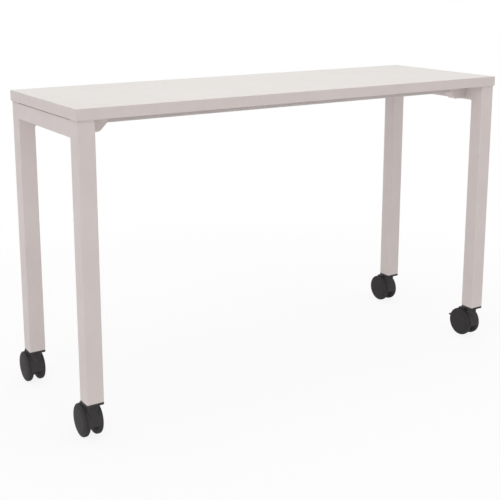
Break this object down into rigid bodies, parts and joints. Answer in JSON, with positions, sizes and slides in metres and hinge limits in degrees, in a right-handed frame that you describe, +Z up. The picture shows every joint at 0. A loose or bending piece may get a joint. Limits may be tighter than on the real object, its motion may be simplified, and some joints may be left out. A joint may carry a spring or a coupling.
{
  "type": "flip top training table",
  "caption": "Narrow training table with a laminated board that flips up on rear hinges, square tube legs, a front release bar with side bolts, and twin-wheel swivel casters.",
  "frame": {"origin": "on the floor, at the centre of the box around the table with its casters trailing to the back", "axes": "+X along the table to the right, +Y to the hinge side at the back, +Z up"},
  "size_m": [1.202, 0.44, 0.737],
  "materials": {
    "laminate": "matt laminate on particle board",
    "edge": "glued plastic edge band",
    "coat": "satin powder coat on steel",
    "cap": "moulded plastic",
    "steel": "zinc plated",
    "caster": "moulded black plastic",
    "tread": "moulded black plastic wheel"
  },
  "bodies": {
    "frame": {"stretcher": "coat", "stretcher_plate_left": "coat", "stretcher_plate_right": "coat", "crossbar_left": "coat", "crossbar_right": "coat", "hinge_bracket_left": "coat", "hinge_bracket_right": "coat", "hinge_pin_left": "steel", "hinge_pin_right": "steel", "hinge_bolt_upper_left": "steel", "hinge_bolt_upper_right": "steel", "hinge_bolt_lower_left": "steel", "hinge_bolt_lower_right": "steel", "leg_front_left": "coat", "leg_front_right": "coat", "leg_rear_left": "coat", "leg_rear_right": "coat", "leg_cap_front_left": "cap", "leg_cap_front_right": "cap", "leg_cap_rear_left": "cap", "leg_cap_rear_right": "cap", "caster_socket_front_left": "caster", "caster_socket_front_right": "caster", "caster_socket_rear_left": "caster", "caster_socket_rear_right": "caster", "caster_stem_front_left": "steel", "caster_stem_front_right": "steel", "caster_stem_rear_left": "steel", "caster_stem_rear_right": "steel"},
    "top": {"worktop_board": "laminate", "edge_band": "edge", "hinge_leaf_left": "steel", "hinge_leaf_right": "steel", "latch_housing_left": "coat", "latch_housing_right": "coat"},
    "release_bar": {"lock_bar": "coat"},
    "bolt_left": {"latch_bolt_left": "steel"},
    "bolt_right": {"latch_bolt_right": "steel"},
    "swivel_front_left": {"caster_hood_front_left": "caster", "caster_axle_front_left": "steel"},
    "swivel_front_right": {"caster_hood_front_right": "caster", "caster_axle_front_right": "steel"},
    "swivel_rear_left": {"caster_hood_rear_left": "caster", "caster_axle_rear_left": "steel"},
    "swivel_rear_right": {"caster_hood_rear_right": "caster", "caster_axle_rear_right": "steel"},
    "roller_front_left_outer": {"wheel_front_left_outer": "tread"},
    "roller_front_left_inner": {"wheel_front_left_inner": "tread"},
    "roller_front_right_outer": {"wheel_front_right_outer": "tread"},
    "roller_front_right_inner": {"wheel_front_right_inner": "tread"},
    "roller_rear_left_outer": {"wheel_rear_left_outer": "tread"},
    "roller_rear_left_inner": {"wheel_rear_left_inner": "tread"},
    "roller_rear_right_outer": {"wheel_rear_right_outer": "tread"},
    "roller_rear_right_inner": {"wheel_rear_right_inner": "tread"},
    "pedal_left": {"brake_pedal_left": "caster"},
    "pedal_right": {"brake_pedal_right": "caster"}
  },
  "joints": [
    {"name": "top_flip", "type": "hinge", "parent": "frame", "child": "top", "pos_m": [0, 0.172, 0.698], "axis": [-1, 0, 0], "range_deg": [0, 90]},
    {"name": "release_bar_turn", "type": "hinge", "parent": "top", "child": "release_bar", "pos_m": [0, -0.1415, 0.6983], "axis": [1, 0, 0], "range_deg": [0, 20]},
    {"name": "bolt_left_slide", "type": "slide", "parent": "top", "child": "bolt_left", "axis": [-1, 0, 0], "range_m": [0, 0.008]},
    {"name": "bolt_right_slide", "type": "slide", "parent": "top", "child": "bolt_right", "axis": [1, 0, 0], "range_m": [0, 0.008]},
    {"name": "swivel_front_left_turn", "type": "hinge", "parent": "frame", "child": "swivel_front_left", "pos_m": [-0.577, -0.197, 0.07], "axis": [0, 0, 1], "continuous": true},
    {"name": "swivel_front_right_turn", "type": "hinge", "parent": "frame", "child": "swivel_front_right", "pos_m": [0.577, -0.197, 0.07], "axis": [0, 0, 1], "continuous": true},
    {"name": "swivel_rear_left_turn", "type": "hinge", "parent": "frame", "child": "swivel_rear_left", "pos_m": [-0.577, 0.157, 0.07], "axis": [0, 0, 1], "continuous": true},
    {"name": "swivel_rear_right_turn", "type": "hinge", "parent": "frame", "child": "swivel_rear_right", "pos_m": [0.577, 0.157, 0.07], "axis": [0, 0, 1], "continuous": true},
    {"name": "wheel_front_left_outer_spin", "type": "hinge", "parent": "swivel_front_left", "child": "roller_front_left_outer", "pos_m": [-0.59, -0.172, 0.038], "axis": [1, 0, 0], "continuous": true},
    {"name": "wheel_front_left_inner_spin", "type": "hinge", "parent": "swivel_front_left", "child": "roller_front_left_inner", "pos_m": [-0.564, -0.172, 0.038], "axis": [1, 0, 0], "continuous": true},
    {"name": "wheel_front_right_outer_spin", "type": "hinge", "parent": "swivel_front_right", "child": "roller_front_right_outer", "pos_m": [0.59, -0.172, 0.038], "axis": [1, 0, 0], "continuous": true},
    {"name": "wheel_front_right_inner_spin", "type": "hinge", "parent": "swivel_front_right", "child": "roller_front_right_inner", "pos_m": [0.564, -0.172, 0.038], "axis": [1, 0, 0], "continuous": true},
    {"name": "wheel_rear_left_outer_spin", "type": "hinge", "parent": "swivel_rear_left", "child": "roller_rear_left_outer", "pos_m": [-0.59, 0.182, 0.038], "axis": [1, 0, 0], "continuous": true},
    {"name": "wheel_rear_left_inner_spin", "type": "hinge", "parent": "swivel_rear_left", "child": "roller_rear_left_inner", "pos_m": [-0.564, 0.182, 0.038], "axis": [1, 0, 0], "continuous": true},
    {"name": "wheel_rear_right_outer_spin", "type": "hinge", "parent": "swivel_rear_right", "child": "roller_rear_right_outer", "pos_m": [0.59, 0.182, 0.038], "axis": [1, 0, 0], "continuous": true},
    {"name": "wheel_rear_right_inner_spin", "type": "hinge", "parent": "swivel_rear_right", "child": "roller_rear_right_inner", "pos_m": [0.564, 0.182, 0.038], "axis": [1, 0, 0], "continuous": true},
    {"name": "brake_left_press", "type": "hinge", "parent": "swivel_front_left", "child": "pedal_left", "pos_m": [-0.577, -0.154, 0.041], "axis": [-1, 0, 0], "range_deg": [0, 10]},
    {"name": "brake_right_press", "type": "hinge", "parent": "swivel_front_right", "child": "pedal_right", "pos_m": [0.577, -0.154, 0.041], "axis": [-1, 0, 0], "range_deg": [0, 10]}
  ],
  "couplings": [
    {"joint": "bolt_left_slide", "follows": "release_bar_turn", "m_per_rad": 0.0229},
    {"joint": "bolt_right_slide", "follows": "release_bar_turn", "m_per_rad": 0.0229}
  ]
}
